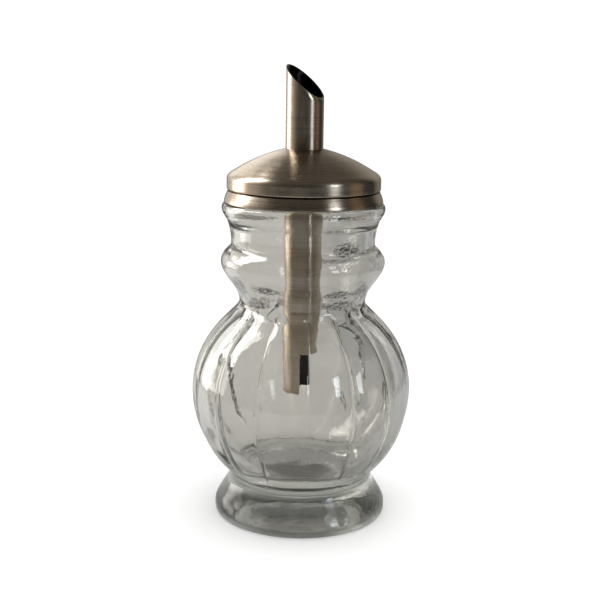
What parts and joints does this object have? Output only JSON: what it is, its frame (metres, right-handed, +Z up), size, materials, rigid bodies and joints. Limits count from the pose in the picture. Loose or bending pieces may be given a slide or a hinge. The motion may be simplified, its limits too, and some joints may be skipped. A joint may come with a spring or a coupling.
{
  "type": "sugar dispenser",
  "caption": "Footed glass sugar dispenser with a lobed bulb, a ringed neck and a domed metal lid with a slant-cut pouring tube.",
  "frame": {"origin": "middle of the ring on which the foot stands, at the bottom of the part", "axes": "+Z up along the axis of the jar and tube; -Y is the side seen in the picture, and both the slanted spout and the open side of the tube's lower end face +X and a little towards -Y"},
  "size_m": [0.0816, 0.081, 0.1655],
  "materials": {
    "clear_glass": "clear pressed glass with a faint grey tint, glossy, slightly wavy",
    "brushed_lid": "warm satin steel, brushed in circles round the lid",
    "brushed_tube": "warm satin steel, brushed round the tube"
  },
  "bodies": {
    "root": {"glass_jar": "clear_glass", "lid_collar": "brushed_lid", "lid_dome": "brushed_lid", "pour_tube": "brushed_tube"}
  },
  "joints": []
}
